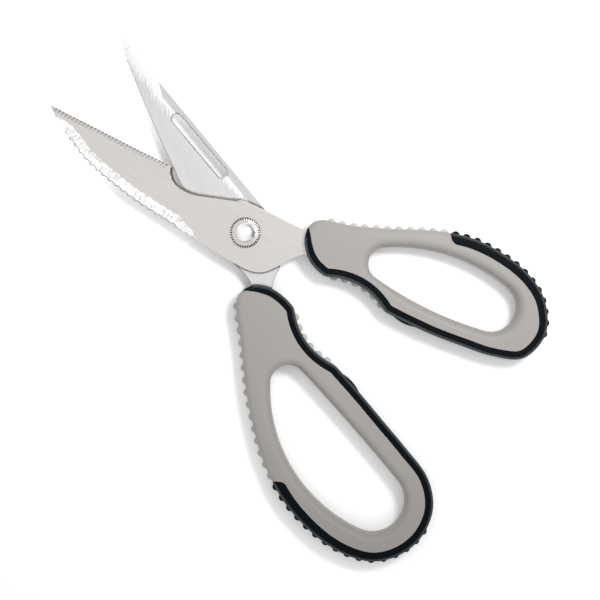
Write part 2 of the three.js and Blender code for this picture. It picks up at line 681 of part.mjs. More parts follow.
// Tang outline, lengthened towards the pivot and grown on every side for the pocket it lies in.
function tangShape(loop, forward, growth) {
  const [first, last] = loop.tangShoulder.map(vector);
  const heading = vector(loop.tangHeading).normalize();
  const ends = [-forward, TANG_LENGTH];
  const corners = [[first, 1], [last, 1], [last, 0], [first, 0]];
  const points = corners.map(([corner, end]) => corner.clone().addScaledVector(heading, ends[end]));
  return flipped(inset(points.reverse(), () => -growth), loop.flip);
}

// Distances along the soft band, closer together where its ends run out.
function bandStations(length) {
  const run = BAND_END_STATIONS.at(-1);
  const steps = Math.ceil((length - 2 * run) / OUTLINE_STEP);
  const step = (length - 2 * run) / steps;
  const middle = Array.from({ length: steps - 1 }, (_, i) => run + step * (i + 1));
  return [...BAND_END_STATIONS, ...middle, ...BAND_END_STATIONS.map((end) => length - end).reverse()];
}

function bandWidth(run, length) {
  const pastHalf = Math.max(0, (2 * run) / length - 1);
  const width = THREE.MathUtils.lerp(BAND_WIDTH, BAND_END_WIDTH, pastHalf);
  const start = 1 - Math.exp(-run / BAND_START_TAPER);
  const left = Math.min(1, (length - run) / BAND_END_TAPER);
  return width * start * Math.sqrt(1 - (1 - left) ** 2);
}

function handle(name, loop) {
  const { flip } = loop;
  const outline = samplePath(outlinePath(loop));
  const total = outline.reduce((sum, point, i) => sum + point.distanceTo(outline.at(i - 1)), 0);
  const walk = walker(outline);
  const distanceTo = (target) => {
    const index = outline.findIndex((point) => point.distanceTo(target) < FIT_GAP);
    return outline.slice(1, index + 1).reduce((sum, point, i) => sum + point.distanceTo(outline[i]), 0);
  };
  const bandEnd = total - loop.nubStart - (loop.greyNubs - 0.5) * loop.nubPitch;

  // The soft band is the outline's border, and the grey shells fill what it leaves.
  const runs = bandStations(bandEnd);
  const lastRun = runs.length - 1;
  const border = runs.map((run) => walk(run).point);
  const bare = outline.filter((point) => distanceTo(point) > bandEnd);
  const points = [...border, ...bare];
  const bandDepth = (i) => (i > lastRun ? 0 : bandWidth(runs[i], bandEnd));
  const bandInside = inset(points, bandDepth);
  const bandRegion = [...border, ...bandInside.slice(1, lastRun).reverse()];
  const shellRegion = inset(points, (i) => (i > lastRun ? 0 : bandDepth(i) + FIT_GAP));
  const ledgeEnds = [BAND_END_STATIONS.length - 1, runs.length - BAND_END_STATIONS.length + 1];
  const ledgeOutside = inset(points, () => -CUT_MARGIN).slice(...ledgeEnds);
  const ledgeInside = inset(points, () => LEDGE_WIDTH).slice(...ledgeEnds);
  const ledge = flipped([...ledgeOutside, ...ledgeInside.reverse()], flip);

  const below = -CUT_MARGIN;
  const above = HANDLE_THICKNESS + CUT_MARGIN;
  const hole = flaredHole(flipped(samplePath(holePath(loop)), flip));
  const whole = roundedSlab(flipped(points, flip)).subtract(hole);
  const shells = whole.intersect(prism(flipped(shellRegion, flip), below, above));

  const tangBase = loop.bladeBase - FIT_GAP;
  const tangTop = loop.bladeBase + BLADE_THICKNESS + FIT_GAP;
  const pocket = tangShape(loop, NOSE_CLEARANCE, FIT_GAP);
  const seam = LOWER_SHELL_THICKNESS;

  const restFrom = distanceTo(vector(loop.nose.at(-1))) + REST_WINDOW_INSET;
  const restTo = distanceTo(vector(loop.restEnd)) - REST_WINDOW_INSET;
  const windowLow = MID_HEIGHT - REST_WINDOW_HEIGHT / 2;
  const windowHigh = MID_HEIGHT + REST_WINDOW_HEIGHT / 2;
  const padFrom = restFrom + FIT_GAP;
  const padTo = restTo - FIT_GAP;
  const padRoot = BAND_WIDTH + CUT_MARGIN;
  const windowRegion = strip(walk, restFrom, restTo, -CUT_MARGIN, padRoot + FIT_GAP, flip);
  const padRegion = strip(walk, padFrom, padTo, REST_PAD_INSET, padRoot, flip);
  const restNubs = Math.floor((restTo - restFrom - 2 * NUB_RADIUS) / REST_NUB_PITCH) + 1;
  const restMiddle = (restFrom + restTo) / 2;
  const restNub = (i) => nub(walk, restMiddle + (i - (restNubs - 1) / 2) * REST_NUB_PITCH, flip);
  const edgeNub = (i) => nub(walk, total - loop.nubStart - i * loop.nubPitch, flip);
  const greyNubs = Array.from({ length: loop.greyNubs }, (_, i) => edgeNub(i));
  const darkNubs = Array.from({ length: loop.darkNubs }, (_, i) => edgeNub(loop.greyNubs + i));
  const padNubs = Array.from({ length: restNubs }, (_, i) => restNub(i));

  const pastStop = outline.findIndex((point) => point.x < loop.stopPlace);
  const after = outline[pastStop];
  const before = outline[pastStop - 1];
  const stopOvershoot = (loop.stopPlace - after.x) / (before.x - after.x);
  const stopPlace = walk(distanceTo(after) - stopOvershoot * after.distanceTo(before));
  const stopLow = MID_HEIGHT - STOP_HEIGHT / 2;
  const stopHigh = MID_HEIGHT + STOP_HEIGHT / 2;
  const seatLength = STOP_LENGTH + 2 * FIT_GAP;
  const stopSeat = lens(stopPlace, seatLength, STOP_PROUD + CUT_MARGIN, STOP_SEAT + FIT_GAP, flip);

  const body = shells
    .intersect(slab(seam, above))
    .add(prism(padRegion, windowLow + FIT_GAP, windowHigh - FIT_GAP))
    .add(joined([...greyNubs, ...padNubs]))
    .subtract(prism(pocket, seam - CUT_MARGIN, tangTop))
    .subtract(pegs(loop, PEG_RADIUS + FIT_GAP, tangTop - CUT_MARGIN, tangTop + PEG_RISE + FIT_GAP));
  const cover = shells
    .intersect(slab(below, seam))
    .subtract(prism(pocket, tangBase, tangTop))
    .add(shells.intersect(prism(tangShape(loop, 0, 0), seam - CUT_MARGIN, tangBase)))
    .add(pegs(loop, PEG_RADIUS, tangBase - CUT_MARGIN, tangTop + PEG_RISE));
  const band = whole
    .intersect(prism(flipped(bandRegion, flip), below, above))
    .add(joined(darkNubs).subtract(prism(flipped(bandInside, flip), below, above)))
    .subtract(prism(windowRegion, windowLow, windowHigh))
    .subtract(prism(ledge, HANDLE_THICKNESS - LEDGE_DROP, above))
    .subtract(prism(ledge, below, LEDGE_DROP))
    .subtract(prism(pocket, tangBase, tangTop))
    .subtract(prism(stopSeat, stopLow - FIT_GAP, stopHigh + FIT_GAP));
  const stop = prism(lens(stopPlace, STOP_LENGTH, STOP_PROUD, STOP_SEAT, flip), stopLow, stopHigh);
  return [
    piece(`${name}_handle_body`, body, greyPlastic),
    piece(`${name}_handle_cover`, cover, greyPlastic),
    piece(`${name}_grip_band`, band, softBand),
    piece(`${name}_stop`, stop, softBand),
  ];
}

function slab(from, to) {
  const side = 4 * BLADE_REACH;
  const box = new THREE.BoxGeometry(side, side, to - from);
  return solid(box.translate(-BLADE_REACH, 0, (from + to) / 2));
}

// Assembly: each half is drawn closed and turned by half the opening.
const halfOpening = THREE.MathUtils.degToRad(OPENING_AT_REST / 2);
const thumbHalf = new THREE.Group();
thumbHalf.rotation.z = halfOpening;
thumbHalf.add(piece("front_blade", frontBlade(), bladeSteel), ...handle("thumb", thumbLoop));
const fingerHalf = new THREE.Group();
fingerHalf.rotation.z = -halfOpening;
fingerHalf.add(piece("rear_blade", rearBlade(), bladeSteel), ...handle("finger", fingerLoop));
fingerHalf.add(piece("pivot_bolt", pivotBolt(), polishedSteel));
fingerHalf.add(piece("toothed_washer", toothedWasher(), bladeSteel));
fingerHalf.add(piece("pivot_nut", pivotNut(), polishedSteel));
const shears = new THREE.Group();
shears.add(thumbHalf, fingerHalf);

export default shears;
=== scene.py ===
"""Game shears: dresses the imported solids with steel, moulded handles and soft bands.

Lengths are in millimetres and angles in degrees unless a comment says otherwise. The handles are
written in the closed position and turned to rest by half the opening.
"""
import math

import bmesh
import bpy
import numpy as np
from mathutils import Matrix, Vector

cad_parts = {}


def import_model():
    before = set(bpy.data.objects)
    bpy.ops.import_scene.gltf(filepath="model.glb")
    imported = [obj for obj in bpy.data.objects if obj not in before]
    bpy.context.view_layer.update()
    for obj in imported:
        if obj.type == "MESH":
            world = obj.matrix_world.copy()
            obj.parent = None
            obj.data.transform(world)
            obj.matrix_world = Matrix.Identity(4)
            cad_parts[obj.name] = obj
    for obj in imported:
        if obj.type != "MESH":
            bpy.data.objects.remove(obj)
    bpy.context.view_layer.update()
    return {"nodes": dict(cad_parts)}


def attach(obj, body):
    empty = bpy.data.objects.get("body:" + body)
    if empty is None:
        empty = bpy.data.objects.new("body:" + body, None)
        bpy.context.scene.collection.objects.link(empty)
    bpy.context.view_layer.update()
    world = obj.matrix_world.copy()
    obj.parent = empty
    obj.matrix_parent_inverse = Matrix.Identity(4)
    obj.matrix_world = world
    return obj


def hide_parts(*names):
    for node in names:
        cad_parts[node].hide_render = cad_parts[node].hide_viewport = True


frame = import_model()
nodes = frame["nodes"]

MM = 0.001
HALF_OPENING = math.radians(24.5 / 2)

# Sampling of outlines: spacing of points, and how far points and normals are smoothed
SPACING = 0.55
OUTLINE_BLUR = 0.7
NORMAL_BLUR = 1.6
HOLE_NORMAL_BLUR = 0.55
HOLE_STEP = 0.5
ARM_START = 0.25

# Handle shells
HANDLE_THICKNESS = 13.0
MID_HEIGHT = HANDLE_THICKNESS / 2
SEAM_HEIGHT = 3.6
SEAM_GROOVE = 0.16
FIT_GAP = 0.12

# Outer edge of the shells: its rounding and the width that shows it, beside the band and without it
EDGE_ROUND = 1.3
BARE_EDGE_ROUND = 2.2
EDGE_REACH = 0.7
BARE_EDGE_REACH = 2.4

# Most of the wall that this width takes, and steps over the width, from the inside out
EDGE_MOST_SHARE = 0.25
EDGE_STEPS = (1.0, 0.72, 0.6, 0.47, 0.34, 0.22, 0.12, 0.05, 0.0)

# Band widths up to which the edge is partly bare and from which it has a groove, and the groove's width
BARE_BAND = 1.5
GROOVED_BAND = 0.4
GROOVE_SHARE = 0.06

# Finger hole's edge, with the most of the wall that its rounding and the flat beside it take
HOLE_ROUND = 2.9
HOLE_ROUND_HEIGHT = 3.8
HOLE_ROUND_SHARE = 0.6
HOLE_ROUND_BLUR = 2
HOLE_ROUND_STEPS = 9
HOLE_FLAT_SHARE = 0.06

# Soft band: a face stripe, a step down and a rounded ledge, in shares of their widths and drop
BAND_WIDTH = 2.9
BAND_END_WIDTH = 3.9
BAND_START_GROWTH = 2.6
BAND_END_ROUND = 3.4
BAND_END_MARGIN = 0.02
STRIPE_SHARES = (1.0, 0.93, 0.75, 0.5, 0.25, 0.1, 0.0)
STRIPE_EDGE_DROP = 0.14
STEP_ROWS = ((0.97, 0.9), (0.94, 1.9), (0.84, 1.9), (0.74, 1.0))
LEDGE_WIDTH = 1.2
LEDGE_MOST_SHARE = 0.92
LEDGE_DROP = 0.6
LEDGE_SHARES = (0.6, 0.45, 0.32, 0.2, 0.1, 0.04, 0.0)
SIDE_HEIGHTS = (9.6, 8.4, 7.2, 5.8, 4.6, 3.4)

# Nubs, with the bare margin at both ends of the finger rest's row
NUB_RADIUS = 1.55
NUB_INSET = 0.25
NUB_SEGMENTS = 20
NUB_RINGS = 12
REST_NUB_PITCH = 4.2
REST_MARGIN = 1.2

# Bumpers: each row has a share of the depth, and a height above the lower edge
STOP_LENGTH = 9.2
STOP_HEIGHT = 7.0
STOP_PROUD = 0.7
STOP_SEAT = 1.3
STOP_STATIONS = 33
STOP_ROWS = ((-0.35, 0.0), (0.0, 0.0), (0.55, 0.05), (0.85, 0.3), (1.0, 0.9))
STOP_OVAL_POWER = 3
MERGE_REACH = 0.001

# The inner edge, which the bumpers sit on, starts past the nose
NOSE_RUN = 30

# Loops, inner edge up: flip -1 mirrors one, the hole's ends have x, y and radius, walls lie outside it
THUMB = {
    "name": "thumb",
    "body": "thumb_half",
    "turn": HALF_OPENING,
    "flip": 1,
    "nose": [(-18.6, -14.5), (-20.1, -9.9), (-24, -5.7), (-28.6, -3.4), (-34.1, -2.6)],
    "rest_end": (-60.4, -3.9),
    "rest_depth": 3.65,
    "arm_walls": [8.4, 8.2, 8.1],
    "end_walls": [9.1, 13, 12.9, 10.4, 8.8],
    "outer_walls": [9, 8.9, 7.65, 6.65],
    "heel": [(-41.6, -29.2), (-31.6, -23.9), (-23, -20.6), (-19.5, -17.8)],
    "hole_front": (-50.5, -19, 6.3),
    "hole_rear": (-93.2, -27.6, 9.4),
    "hole_inner": 137,
    "hole_outer": 66,
    "stop_place": -68.6,
    "nub_start": 10,
    "nub_pitch": 4.3,
    "grey_nubs": 11,
    "dark_nubs": 14,
}
FINGER = {
    "name": "finger",
    "body": "finger_half",
    "turn": -HALF_OPENING,
    "flip": -1,
    "nose": [(-17.7, -12.2), (-18.6, -7.5), (-23.2, -2.8), (-28.8, -0.5), (-33.8, 0.4)],
    "rest_end": (-60.4, 1.9),
    "rest_depth": 3.6,
    "arm_walls": [10.6, 10.3, 10.2],
    "end_walls": [10.3, 10.6, 10.4, 10.3, 10.4],
    "outer_walls": [10.5, 9.5, 8.2, 8.2],
    "heel": [(-45.8, -29.3), (-33, -22.9), (-23.5, -18.9), (-19.2, -15.8)],
    "hole_front": (-56.6, -16.6, 6.8),
    "hole_rear": (-111.2, -13.3, 12),
    "hole_inner": 900,
    "hole_outer": 58.5,
    "stop_place": -69,
    "nub_start": 7,
    "nub_pitch": 4.7,
    "grey_nubs": 15,
    "dark_nubs": 16,
}

# Domed nut
NUT_RADIUS = 3.7
NUT_SKIRT = 0.8
NUT_DOME_RISE = 1.9
NUT_CHAMFER = 0.15
NUT_HOLLOW = 1.4
NUT_HOLLOW_CENTRE = 0.4
NUT_DOME_STEPS = 22
NUT_SEGMENTS = 72

# Toothed washer: each row of its section has a radius, a height, and the grooves' cuts in and down
WASHER_BASE = 9.3
WASHER_TOP = 10.2
WASHER_BORE = 2.7
WASHER_FLAT = 4.9
WASHER_RADIUS = 5.85
WASHER_TEETH = 36
TOOTH_STEPS = 8
WASHER_ROWS = (
    (WASHER_BORE, WASHER_BASE, 0, 0),
    (5.4, WASHER_BASE, 0, 0),
    (WASHER_RADIUS, WASHER_BASE + 0.05, 0.15, 0),
    (WASHER_RADIUS, WASHER_TOP - 0.12, 0.15, 0.4),
    (5.75, WASHER_TOP - 0.03, 0, 0.45),
    (5.6, WASHER_TOP, 0, 0.46),
    (5.15, WASHER_TOP, 0, 0.42),
    (5.0, WASHER_TOP, 0, 0.3),
    (WASHER_FLAT, WASHER_TOP, 0, 0),
    (WASHER_BORE, WASHER_TOP, 0, 0),
)

# Blades, as in the solids
BLADE_REACH = 88
NOTCH_START = 36.6
EDGE_DROP = 5.6
TICK_PITCH = 1.5
TICK_WIDTH = 0.7
TICK_SLANT = 20
TICK_MARGIN = 2.2
SPINE_DROP = 10.8
SPINE_STRAIGHT_START = 3.6
SPINE_LAND = 2.0
SPINE_LAND_END = 64.5
SPINE_LAND_TAPER = 0.5

# Places of a material's colours among tones from 0 to 1
DARK_END = 0.22
LOW_TONE = 0.3
HIGH_TONE = 0.7
WHITE_TONE = 0.92

# Share of the low colour left at tone 0, what polish, painted reflection and painted highlight add to a
# tone, and what the band's painted sheen adds
DARK_SHARE = 0.1
POLISH_AND_HIGHLIGHT_GAIN = 0.55
PAINTED_SIDE_SHEEN = 0.45

# Front blade: painted shade in the ticks over the serrations, ground streaks with painted reflection and a
# rim of painted shade on the scaler's bevel, painted shade on the lip of the notch
TICK_SHADE_START = 0.5
TICK_SHADE_END = 1.7
TICK_SHADE_TONE = 0.33
BEVEL_SLOPES = (17, 33)
BEVEL_GRAIN = (0.6, 3.0, 3.0)
BEVEL_GRAIN_TURN = -12
BEVEL_DETAIL = 3
BEVEL_CONTRAST = 3
BEVEL_BIAS = -0.74
RIM_SHADE_HEIGHT = 7.84
RIM_SHADE = 0.88
LIP_SLOPES = (40, 50)
LIP_SHADE_START = 5
LIP_SHADE_END = 11

# Rear blade: polished zone with painted reflection and plain strip beside the spine, thin dark outline of
# painted shade
POLISH_AND_REFLECTION_WIDTH = 5.0
POLISH_AND_REFLECTION_WANDER = 9.0
SPINE_STRIP = 2.8
STRIP_TONE = 0.2
EDGE_SHADE_REACH = 0.4
EDGE_SHADE_POWER = 5

# Washer: painted highlight on the crests of its teeth, painted shade in the grooves
CREST_DEPTH = 0.15
GROOVE_SHADE = 0.84

# Painted shade where two surfaces come close
GAP_SHADE_REACH = 1.2
CLOSENESS_SAMPLES = 16

# Grain's detail, direction of the rear blade's streaks, and the faces' share of the ledge's drop
GRAIN_DETAIL = 4
STREAK_TURN = math.radians(-44.5)
FACE_DROP_SHARE = 0.8
WHITE = (1.0, 1.0, 1.0)

# Edges that bend less than this are shaded smooth, on three solids and on the pieces built here
FRONT_SMOOTH = 8
REAR_SMOOTH = 3.5
BOLT_SMOOTH = 30
BUILT_SMOOTH = 38

# Picture: turn of its upright, place of the pivot in pixels, and a camera straight above, in metres
PHOTO_TURN = math.radians(134.5)
RIGHT = Vector((math.cos(PHOTO_TURN), -math.sin(PHOTO_TURN), 0))
UP = Vector((math.sin(PHOTO_TURN), math.cos(PHOTO_TURN), 0))
PHOTO_SIZE = 600
PIVOT_PIXEL = (245.5, 232.7)
PIXELS_PER_MM = 2.65
CENTRE_SHIFT = RIGHT * (PHOTO_SIZE / 2 - PIVOT_PIXEL[0]) - UP * (PHOTO_SIZE / 2 - PIVOT_PIXEL[1])
CENTRE = CENTRE_SHIFT * (MM / PIXELS_PER_MM)
FOCUS_HEIGHT = 0.008
CAMERA_DISTANCE = 0.7
SENSOR = 36

# Key lamp: direction in the picture, distance and radius in metres, and what it aims at
KEY_DIRECTION = (0.36, 0.3, 1)
KEY_DISTANCE = 0.6
KEY_RADIUS = 0.07
KEY_AIM = (40, 60)
KEY_CONE = 42
KEY_WATTS = 8.6

# Floor: half its side in metres, and how far it lies below the shears
FLOOR_HALF = 1.5
FLOOR_DROP = 0.05
FLOOR_TONE = 0.93
FLOOR_ROUGHNESS = 0.9

# Floor's own light, which paints the shears' shadow: least under the shears, and its gain in the open
FLOOR_LEAST_GLOW = 0.05
FLOOR_GLOW = 0.5
FLOOR_SHADOW_REACH = 9

# Its painted shadow is deeper under the blades than beside the handles
BLADE_SHADE_POWER = 2.0
BLADE_SHADE_START = -30
BLADE_SHADE_END = -10

# The photograph shows hardly any shadow under the blades' tips
# Painted light: the floor glows more under the blades' tips, which takes their shadow away there
TIP_GLOW = 0.3
TIP_GLOW_START = 44
TIP_GLOW_END = 58

# Floor outside the lamp's cone, beyond the photograph's frame
FAR_GLOW = 0.45
FAR_GLOW_START = 190
FAR_GLOW_END = 300

# Diffuse sky: its strength at the horizon, and its share from a height upwards
SKY_STRENGTH = 0.9
SKY_TOP = 0.39
SKY_TOP_HEIGHT = 0.6

# Brightness of the studio as polished steel sees it, along a direction in the picture
STUDIO_STRENGTH = 1.6
STUDIO_DIRECTION = (-1, -0.35, 0)
STUDIO_TONES = [
    (0.0, 0.06), (0.1, 0.08), (0.2, 0.18), (0.26, 0.3), (0.31, 0.6), (0.38, 0.55),
    (0.48, 0.54), (0.53, 0.63), (0.57, 0.63), (0.63, 0.76), (0.8, 0.7), (1.0, 0.5),
]


# Outlines

def catmull_rom(points, steps=40):
    p = np.array(points, float)
    padded = np.vstack([p[:1], p, p[-1:]])
    t = np.linspace(0, 1, steps, endpoint=False)[:, None]
    pieces = []
    for i in range(len(p) - 1):
        before, start, end, after = padded[i:i + 4]
        leave = (end - before) / 2
        arrive = (after - start) / 2
        cubic = 2 * start - 2 * end + leave + arrive
        square = -3 * start + 3 * end - 2 * leave - arrive
        pieces.append(cubic * t ** 3 + square * t ** 2 + leave * t + start)
    return np.vstack(pieces)


def quadratic(start, control, end, steps=80):
    t = np.linspace(0, 1, steps, endpoint=False)[:, None]
    return (1 - t) ** 2 * start + 2 * t * (1 - t) * control + t ** 2 * end


def arc(centre, radius, start, turn):
    angles = np.linspace(start, start + turn, max(2, int(turn * radius / HOLE_STEP)), endpoint=False)
    return centre + radius * np.stack([np.cos(angles), np.sin(angles)], 1)


def resample(points, spacing):
    closed = np.vstack([points, points[:1]])
    run = np.r_[0, np.cumsum(np.linalg.norm(np.diff(closed, axis=0), axis=1))]
    count = int(round(run[-1] / spacing))
    places = np.linspace(0, run[-1], count, endpoint=False)
    return np.stack([np.interp(places, run, closed[:, k]) for k in (0, 1)], 1), run[-1]


def blur(values, sigma):
    """Smooths values round a closed loop; sigma counts samples, and four of them are taken in."""
    reach = int(4 * sigma) + 1
    weights = np.exp(-0.5 * (np.arange(-reach, reach + 1) / sigma) ** 2)
    weights /= weights.sum()
    wrapped = np.vstack([values[-reach:], values, values[:reach]])
    return np.stack([np.convolve(wrapped[:, k], weights, "valid") for k in range(values.shape[1])], 1)


def inward_normals(points, sigma):
    along = np.roll(points, -1, 0) - np.roll(points, 1, 0)
    normals = blur(np.stack([-along[:, 1], along[:, 0]], 1), sigma)
    return normals / np.linalg.norm(normals, axis=1, keepdims=True)


def side_centre(loop, radius, side):
    """Centre of the arc that joins the hole's two ends on one side."""
    front = np.array(loop["hole_front"][:2], float)
    axis = np.array(loop["hole_rear"][:2], float) - front
    span = np.linalg.norm(axis)
    axis /= span
    to_front = radius - loop["hole_front"][2]
    to_rear = radius - loop["hole_rear"][2]
    along = (span ** 2 + to_front ** 2 - to_rear ** 2) / (2 * span)
    across = math.sqrt(to_front ** 2 - along ** 2) * side
    return front + axis * along + np.array([-axis[1], axis[0]]) * across


def hole_arcs(loop):
    """The hole's inner side, rear end, outer side and front end: centre, radius, start and turn."""
    front = np.array(loop["hole_front"][:2], float)
    rear = np.array(loop["hole_rear"][:2], float)
    inner = side_centre(loop, loop["hole_inner"], 1)
    outer = side_centre(loop, loop["hole_outer"], -1)

    def bearing(start, end):
        return math.atan2(end[1] - start[1], end[0] - start[0]) % (2 * math.pi)

    turns = [
        (inner, loop["hole_inner"], bearing(inner, front), bearing(inner, rear)),
        (rear, loop["hole_rear"][2], bearing(inner, rear), bearing(outer, rear)),
        (outer, loop["hole_outer"], bearing(outer, rear), bearing(outer, front)),
        (front, loop["hole_front"][2], bearing(outer, front), bearing(inner, front)),
    ]
    return [(centre, radius, start, (end - start) % (2 * math.pi)) for centre, radius, start, end in turns]


def hole_of(loop):
    return resample(np.vstack([arc(*hole_arc) for hole_arc in hole_arcs(loop)]), SPACING)[0]


def wall_points(hole_arc, walls, start=0.0):
    """Points evenly beside one arc of the hole, a wall's width outside it."""
    centre, radius, first, turn = hole_arc
    points = []
    for i, wall in enumerate(walls):
        angle = first + turn * (start + (1 - start) * (i + 0.5) / len(walls))
        points.append(centre + (radius + wall) * np.array([math.cos(angle), math.sin(angle)]))
    return points


def outline_of(loop):
    """Points of the loop's outline, from the nose along the inner edge, and its length."""
    inner, end, outer, _ = hole_arcs(loop)
    edge = [
        *wall_points(inner, loop["arm_walls"], ARM_START),
        *wall_points(end, loop["end_walls"]),
        *wall_points(outer, loop["outer_walls"]),
        *loop["heel"],
    ]
    cusp = np.array(loop["nose"][-1], float)
    rest_end = np.array(loop["rest_end"], float)
    control = (cusp + rest_end) / 2 - np.array([0, 2 * loop["rest_depth"]])
    raw = np.vstack([
        catmull_rom(loop["nose"]),
        quadratic(cusp, control, rest_end),
        catmull_rom([loop["rest_end"], *edge, loop["nose"][0]]),
    ])
    points, total = resample(raw, SPACING)
    return blur(points, OUTLINE_BLUR / SPACING), total


# Meshes

def placed(loop, flat, height):
    """Takes closed-position points to rest, in metres."""
    x, y = flat[:, 0], flat[:, 1] * loop["flip"]
    c, s = math.cos(loop["turn"]), math.sin(loop["turn"])
    return np.stack([x * c - y * s, x * s + y * c, np.broadcast_to(height, y.shape)], 1) * MM


def circle(count):
    """Angles round a circle, and its points at radius 1."""
    angles = np.arange(count) * 2 * math.pi / count
    return angles, np.stack([np.cos(angles), np.sin(angles)], 1)


def add_rings(bm, rings, close=False):
    """Joins rings of equal count with quads; returns the vertices of each ring."""
    made = [[bm.verts.new(point) for point in ring] for ring in rings]
    pairs = list(zip(made, made[1:]))
    if close:
        pairs.append((made[-1], made[0]))
    for low, high in pairs:
        for i in range(len(low)):
            j = (i + 1) % len(low)
            bm.faces.new((low[i], low[j], high[j], high[i]))
    return made


def capped(rings):
    """Mesh of rings in a row, with a face over each end."""
    bm = bmesh.new()
    made = add_rings(bm, rings)
    for ring in (made[0], made[-1]):
        bm.faces.new(ring)
    return bm


def ring_edges(bm, ring):
    return [bm.edges.get((ring[i], ring[(i + 1) % len(ring)])) for i in range(len(ring))]


def add_object(name, bm, material, body, replaces=()):
    bmesh.ops.recalc_face_normals(bm, faces=bm.faces)
    mesh = bpy.data.meshes.new(name)
    bm.to_mesh(mesh)
    bm.free()
    mesh.shade_smooth()
    mesh.set_sharp_from_angle(angle=math.radians(BUILT_SMOOTH))
    mesh.materials.append(material)
    piece = bpy.data.objects.new(name, mesh)
    bpy.context.scene.collection.objects.link(piece)
    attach(piece, body)
    if replaces:
        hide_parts(*replaces)


# Shader nodes

class Tree:
    """Nodes of a material or the world, with short ways to add and link them."""

    def __init__(self, owner):
        owner.use_nodes = True
        self.nodes = owner.node_tree.nodes
        self.links = owner.node_tree.links

    def calc(self, operation, *values):
        node = self.nodes.new("ShaderNodeMath")
        node.operation = operation
        for socket, value in zip(node.inputs, values):
            if isinstance(value, (int, float)):
                socket.default_value = value
            else:
                self.links.new(value, socket)
        return node.outputs["Value"]

    def clamp(self, value):
        return self.calc("MINIMUM", self.calc("MAXIMUM", value, 0), 1)

    def rise(self, distance, start, end):
        """0 up to one distance, and 1 from another."""
        rate = 1 / (end - start)
        return self.clamp(self.calc("MULTIPLY_ADD", distance, rate / MM, -start * rate))

    def place(self):
        return self.nodes.new("ShaderNodeTexCoord").outputs["Object"]

    def axes(self, vector):
        parts = self.nodes.new("ShaderNodeSeparateXYZ")
        self.links.new(vector, parts.inputs["Vector"])
        return [parts.outputs[axis] for axis in "XYZ"]

    def axis_square(self, x, y):
        """Square of the distance from the vertical axis."""
        return self.calc("MULTIPLY_ADD", x, x, self.calc("MULTIPLY", y, y))

    def scaled(self, sizes, turn, origin=(0, 0, 0)):
        """Place on the object, counted in sizes along axes turned about the vertical."""
        mapping = self.nodes.new("ShaderNodeMapping")
        mapping.vector_type = "TEXTURE"
        mapping.inputs["Location"].default_value = origin
        mapping.inputs["Rotation"].default_value = (0, 0, turn)
        mapping.inputs["Scale"].default_value = [size * MM for size in sizes]
        self.links.new(self.place(), mapping.inputs["Vector"])
        return mapping.outputs["Vector"]

    def noise(self, sizes, turn, detail):
        node = self.nodes.new("ShaderNodeTexNoise")
        node.inputs["Scale"].default_value = 1
        node.inputs["Detail"].default_value = detail
        self.links.new(self.scaled(sizes, turn), node.inputs["Vector"])
        return node.outputs["Fac"]

    def open_air(self, reach, inside=False):
        """1 where no surface is within reach, less near one; or the same inside the solid itself."""
        node = self.nodes.new("ShaderNodeAmbientOcclusion")
        node.inside = inside
        node.only_local = inside
        node.samples = CLOSENESS_SAMPLES
        node.inputs["Distance"].default_value = reach * MM
        return node.outputs["AO"]

    def sloped(self, upright, slopes):
        """1 on faces between two slopes, else 0; upright is the cosine of a face's slope."""
        least, most = (math.cos(math.radians(slope)) for slope in slopes)
        steep = self.calc("LESS_THAN", upright, least)
        return self.calc("MULTIPLY", steep, self.calc("GREATER_THAN", upright, most))

    def ramp(self, value, stops):
        """Colour of a value, between stops of position and colour."""
        node = self.nodes.new("ShaderNodeValToRGB")
        elements = node.color_ramp.elements
        while len(elements) < len(stops):
            elements.new(0.5)
        for element, (position, colour) in zip(elements, stops):
            element.position = position
            element.color = (*colour, 1)
        self.links.new(value, node.inputs["Fac"])
        return node.outputs["Color"]


# Materials

def new_material(name, settings):
    material = bpy.data.materials.new(name)
    tree = Tree(material)
    shader = next(node for node in tree.nodes if node.type == "BSDF_PRINCIPLED")
    for socket, value in settings.items():
        shader.inputs[socket].default_value = value
    return material, tree, shader


def grain(tree, shader, sizes, height, turn=0.0):
    """Bumps of a size along, across and up, turned about the vertical; returns their noise."""
    noise = tree.noise(sizes, turn, GRAIN_DETAIL)
    bump = tree.nodes.new("ShaderNodeBump")
    bump.inputs["Strength"].default_value = 1
    bump.inputs["Distance"].default_value = height * MM
    tree.links.new(noise, bump.inputs["Height"])
    tree.links.new(bump.outputs["Normal"], shader.inputs["Normal"])
    return noise


def colour(tree, shader, tone, stops):
    tree.links.new(tree.ramp(tone, stops), shader.inputs["Base Color"])


def plastic(name, low, high):
    material, tree, shader = new_material(name, {"Roughness": 0.5, "Specular IOR Level": 0.35})
    tone = grain(tree, shader, sizes=(0.4, 0.4, 0.4), height=0.007)
    colour(tree, shader, tone, [(LOW_TONE, low), (HIGH_TONE, high)])
    return material


def rubber(name, low, high, side=None):
    """Soft plastic; where a side colour is given, the band's ledges and side get it as a painted sheen."""
    material, tree, shader = new_material(name, {"Roughness": 0.48, "Specular IOR Level": 0.05})
    tone = grain(tree, shader, sizes=(0.3, 0.3, 0.3), height=0.008)
    stops = [(LOW_TONE, low), (HIGH_TONE, high)]
    if side:
        # Painted sheen: the band's ledges and side are lighter than its face
        tone = tree.calc("MULTIPLY_ADD", within_faces(tree), PAINTED_SIDE_SHEEN, tone)
        stops.append((WHITE_TONE, side))
    colour(tree, shader, tone, stops)
    return material


def within_faces(tree):
    """1 between the handle's two faces, where the band's ledges and side are, 0 on the faces."""
    _, _, height = tree.axes(tree.place())
    off_middle = tree.calc("ABSOLUTE", tree.calc("SUBTRACT", height, MID_HEIGHT * MM))
    return tree.calc("LESS_THAN", off_middle, (MID_HEIGHT - LEDGE_DROP * FACE_DROP_SHARE) * MM)


